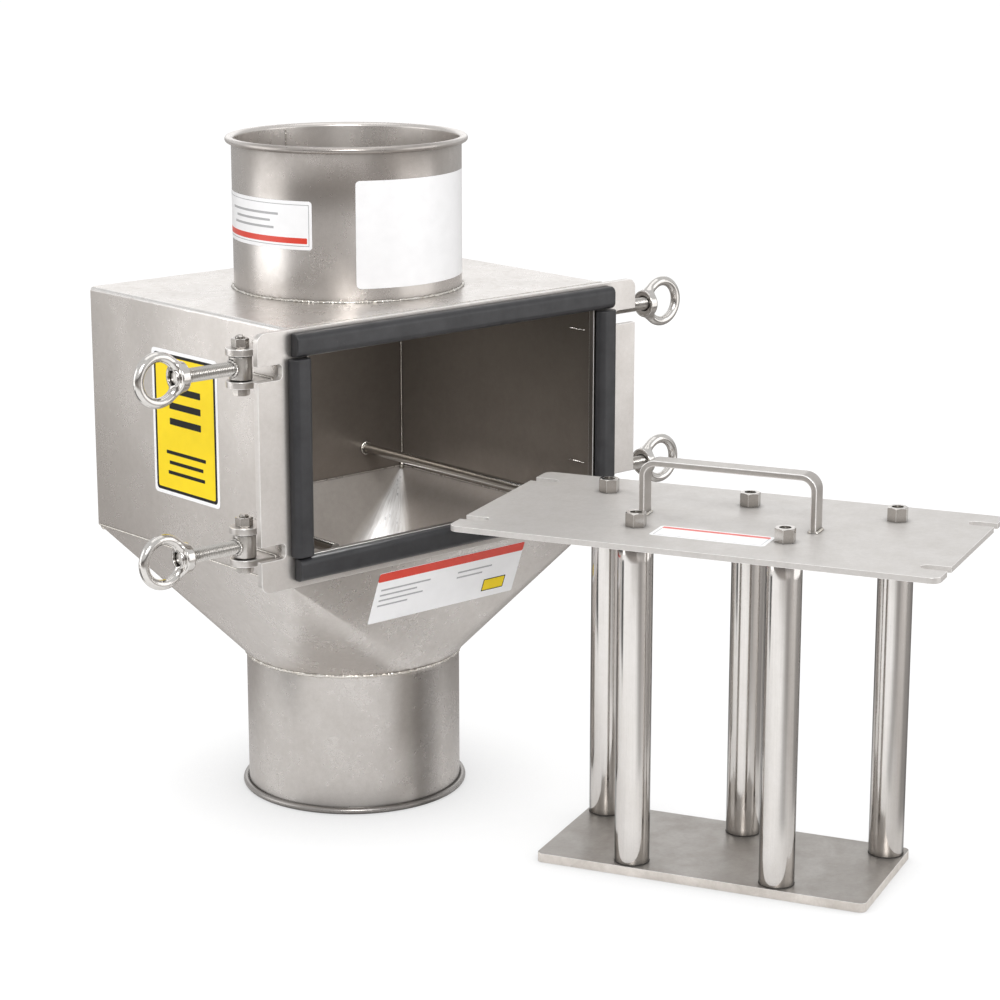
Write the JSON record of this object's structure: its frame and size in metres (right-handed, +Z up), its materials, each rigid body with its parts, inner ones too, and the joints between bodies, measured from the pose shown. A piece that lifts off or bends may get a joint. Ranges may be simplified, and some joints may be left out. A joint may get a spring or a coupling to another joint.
{
  "type": "drawer magnet",
  "caption": "Pipeline drawer magnet: square stainless housing between round spigots, with swing-bolt clamped front and a withdrawn drawer of magnetic tubes standing beside it.",
  "frame": {"origin": "centre of the outlet spigot's rim, on the floor", "axes": "+Z up along the spigots' common axis, from outlet to inlet; front with the drawer opening towards -Y; +X to the right seen from the front"},
  "size_m": [0.6176, 0.7531, 0.6],
  "materials": {
    "blasted_steel": "bead-blasted satin stainless steel",
    "plate_steel": "satin stainless plate",
    "bright_steel": "bright turned stainless steel",
    "polished_steel": "polished",
    "tube_steel": "ground and polished tube",
    "seal_rubber": "matt dark rubber",
    "label_white": "plain film label",
    "label_yellow": "plain film label",
    "label_black": "print on film",
    "label_red": "print on film",
    "magnet_alloy": "plated magnet",
    "pole_iron": "machined soft iron"
  },
  "bodies": {
    "housing": {"outlet_spigot": "blasted_steel", "hopper": "blasted_steel", "box_wrap": "blasted_steel", "back_panel": "blasted_steel", "inlet_spigot": "blasted_steel", "front_flange": "plate_steel", "guide_rod_left": "bright_steel", "guide_rod_right": "bright_steel", "seal_top": "seal_rubber", "seal_bottom": "seal_rubber", "seal_left": "seal_rubber", "seal_right": "seal_rubber", "lug_left_top_upper": "plate_steel", "lug_left_top_lower": "plate_steel", "lug_left_bottom_upper": "plate_steel", "lug_left_bottom_lower": "plate_steel", "lug_right_top_upper": "plate_steel", "lug_right_top_lower": "plate_steel", "lug_right_bottom_upper": "plate_steel", "lug_right_bottom_lower": "plate_steel", "hinge_bolt_left_top": "bright_steel", "hinge_bolt_left_bottom": "bright_steel", "hinge_bolt_right_top": "bright_steel", "hinge_bolt_right_bottom": "bright_steel", "hinge_nuts": "bright_steel", "label_inlet_small": "label_white", "label_inlet_large": "label_white", "label_side": "label_yellow", "label_hopper": "label_white"},
    "bolt_left_top": {"swing_bolt_left_top": "bright_steel"},
    "bolt_left_bottom": {"swing_bolt_left_bottom": "bright_steel"},
    "bolt_right_top": {"swing_bolt_right_top": "bright_steel"},
    "bolt_right_bottom": {"swing_bolt_right_bottom": "bright_steel"},
    "nut_left_top": {"ring_nut_left_top": "polished_steel"},
    "nut_left_bottom": {"ring_nut_left_bottom": "polished_steel"},
    "nut_right_top": {"ring_nut_right_top": "polished_steel"},
    "nut_right_bottom": {"ring_nut_right_bottom": "polished_steel"},
    "drawer": {"face_plate": "plate_steel", "handle": "plate_steel", "end_plate": "plate_steel", "tube_1": "tube_steel", "tube_2": "tube_steel", "tube_3": "tube_steel", "tube_4": "tube_steel", "tube_5": "tube_steel", "magnet_discs": "magnet_alloy", "pole_discs": "pole_iron", "stud_plugs": "bright_steel", "foot_plugs": "bright_steel", "tube_nuts": "bright_steel", "end_screws": "bright_steel", "label_drawer": "label_white"}
  },
  "joints": [
    {"name": "swing_left_top", "type": "hinge", "parent": "housing", "child": "bolt_left_top", "pos_m": [-0.203, -0.111, 0.4325], "axis": [0, 0, 1], "range_deg": [-80, 90]},
    {"name": "swing_left_bottom", "type": "hinge", "parent": "housing", "child": "bolt_left_bottom", "pos_m": [-0.203, -0.111, 0.2815], "axis": [0, 0, 1], "range_deg": [-80, 90]},
    {"name": "swing_right_top", "type": "hinge", "parent": "housing", "child": "bolt_right_top", "pos_m": [0.203, -0.111, 0.4325], "axis": [0, 0, -1], "range_deg": [-80, 90]},
    {"name": "swing_right_bottom", "type": "hinge", "parent": "housing", "child": "bolt_right_bottom", "pos_m": [0.203, -0.111, 0.2815], "axis": [0, 0, -1], "range_deg": [-80, 90]},
    {"name": "turn_nut_left_top", "type": "hinge", "parent": "bolt_left_top", "child": "nut_left_top", "pos_m": [-0.261, -0.111, 0.4325], "axis": [-1, 0, 0], "continuous": true},
    {"name": "turn_nut_left_bottom", "type": "hinge", "parent": "bolt_left_bottom", "child": "nut_left_bottom", "pos_m": [-0.261, -0.111, 0.2815], "axis": [-1, 0, 0], "continuous": true},
    {"name": "turn_nut_right_top", "type": "hinge", "parent": "bolt_right_top", "child": "nut_right_top", "pos_m": [0.261, -0.111, 0.4325], "axis": [1, 0, 0], "continuous": true},
    {"name": "turn_nut_right_bottom", "type": "hinge", "parent": "bolt_right_bottom", "child": "nut_right_bottom", "pos_m": [0.261, -0.111, 0.2815], "axis": [1, 0, 0], "continuous": true},
    {"name": "drawer_lift", "type": "slide", "parent": "housing", "child": "drawer", "axis": [0, -0.6, 0.8], "range_m": [0, 0.6]}
  ]
}
